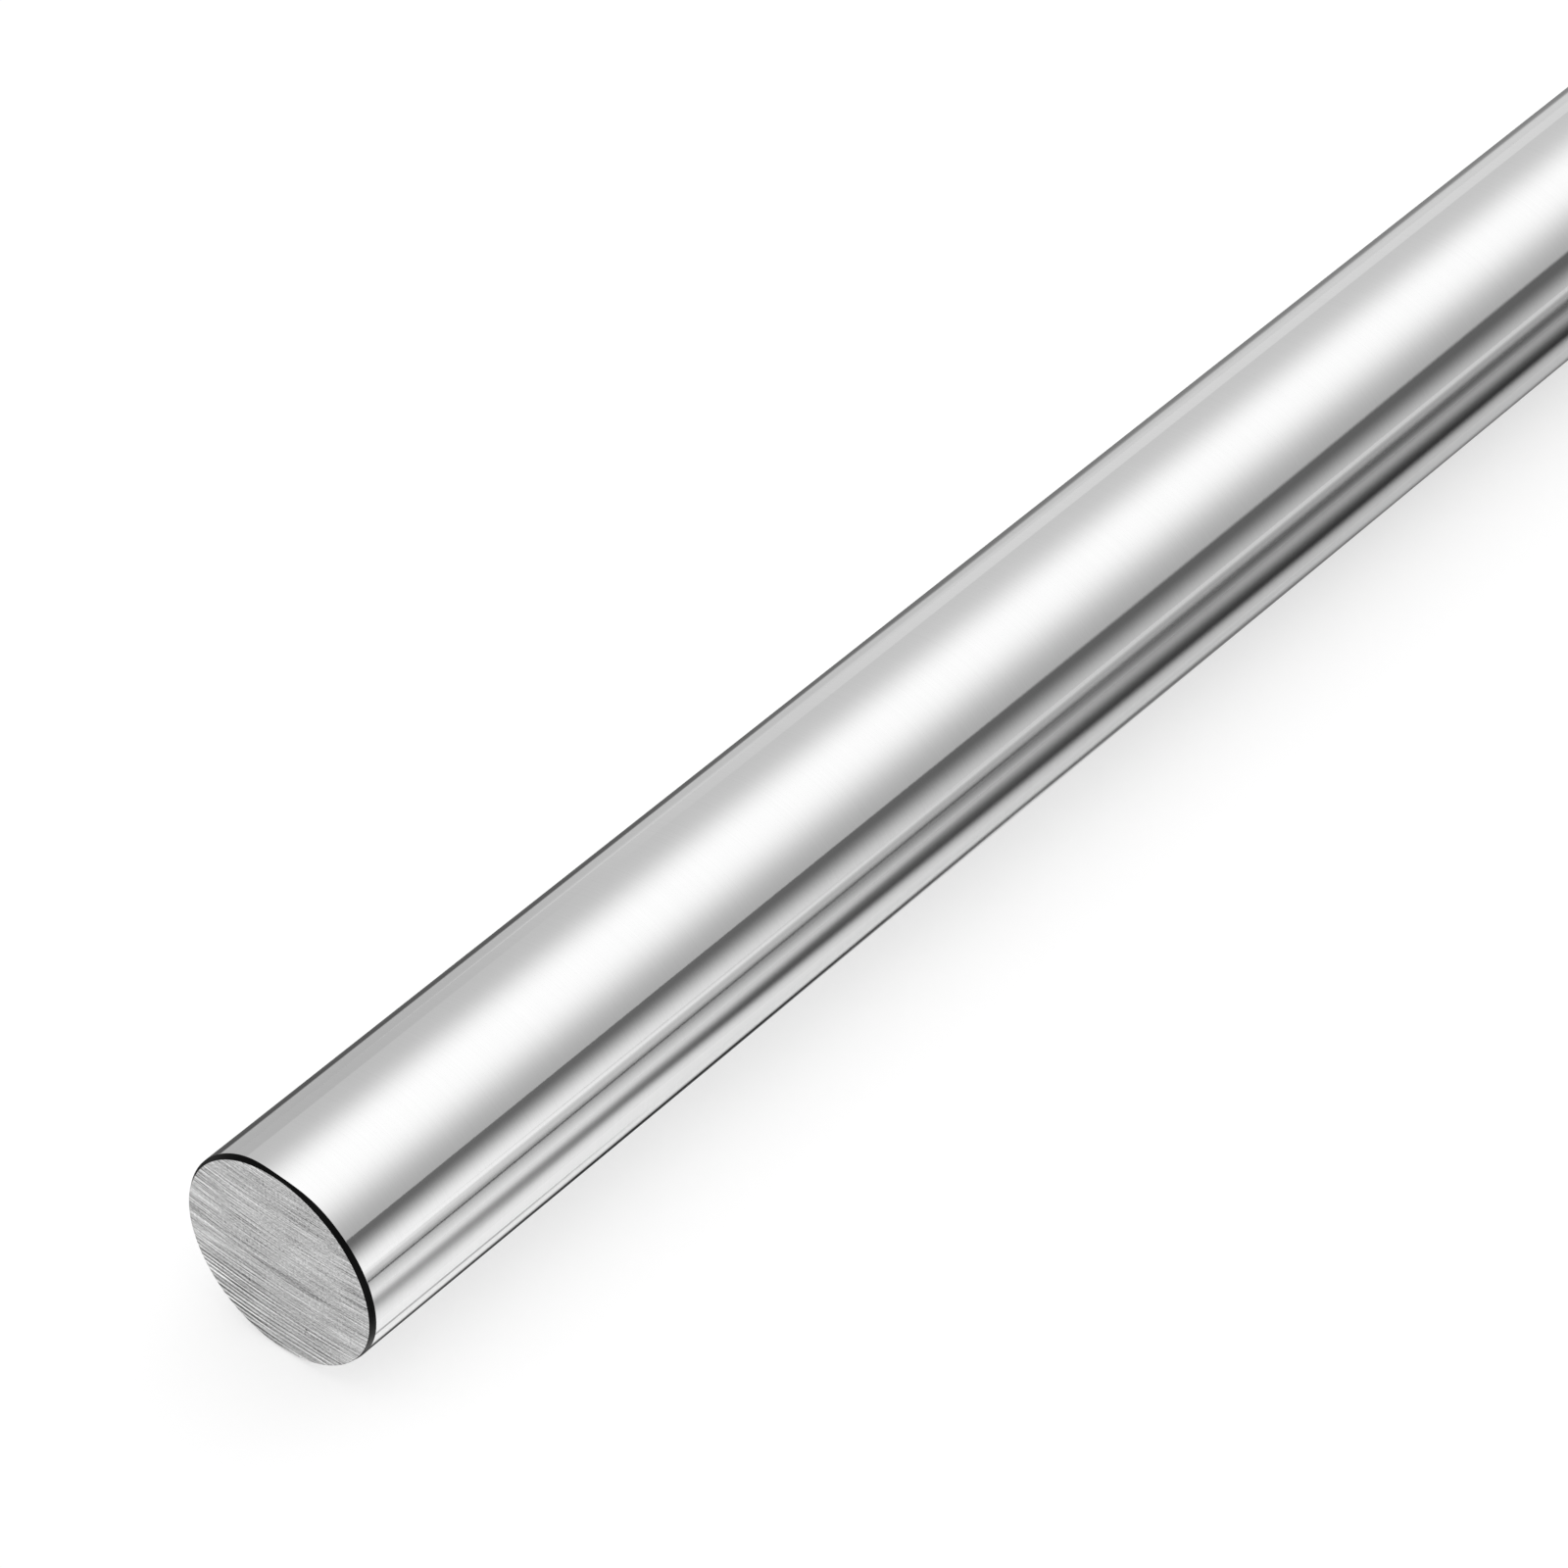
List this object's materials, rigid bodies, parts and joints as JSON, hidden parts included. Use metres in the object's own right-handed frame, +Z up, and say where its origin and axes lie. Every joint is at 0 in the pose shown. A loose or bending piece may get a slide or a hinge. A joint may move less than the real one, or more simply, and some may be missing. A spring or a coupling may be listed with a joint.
{
  "type": "linear shaft",
  "caption": "Straight round guide shaft of hardened steel, ground and hard chromed all along, with square sawn ends broken by a small chamfer, for ball bushings and shaft supports.",
  "frame": {"origin": "on the shaft's axis, at half its length", "axes": "+X along the shaft's axis, from the end that the picture shows towards the other; +Z up as the shaft lies on a level surface"},
  "size_m": [0.3, 0.025, 0.025],
  "materials": {
    "hard_chrome": "ground and polished hard chrome, with bare sawn steel on the end faces"
  },
  "bodies": {
    "root": {"linear_shaft": "hard_chrome"}
  },
  "joints": []
}
